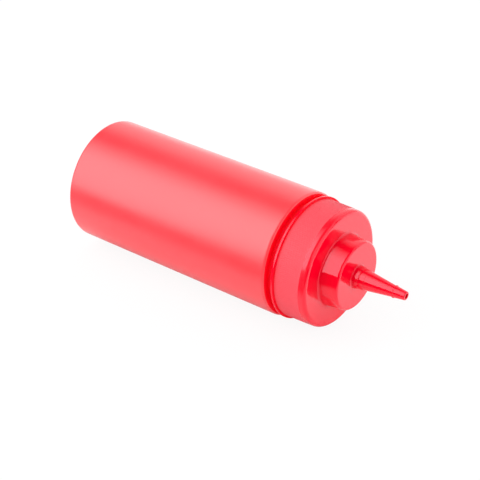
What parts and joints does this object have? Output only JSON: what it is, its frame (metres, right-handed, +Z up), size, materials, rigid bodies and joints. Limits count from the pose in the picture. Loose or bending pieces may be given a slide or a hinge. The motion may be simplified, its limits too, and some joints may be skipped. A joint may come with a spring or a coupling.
{
  "type": "squeeze bottle",
  "caption": "Straight-walled squeeze bottle for sauce lying on its side, with a flanged finely ribbed screw cap, a second tier and a stepped cone nozzle with an open tip",
  "frame": {"origin": "middle of the whole length and width, on the surface that the bottle lies on", "axes": "+X runs along the turning axis from the base to the nozzle tip, +Y is across, +Z is up"},
  "size_m": [0.2038, 0.07, 0.0698],
  "materials": {
    "bottle_wall": "satin soft polyethylene, solid red through the wall",
    "cap_moulding": "glossy moulded polyethylene in the same red, with a matte finely ribbed skirt"
  },
  "bodies": {
    "root": {"bottle": "bottle_wall", "cap": "cap_moulding"}
  },
  "joints": []
}
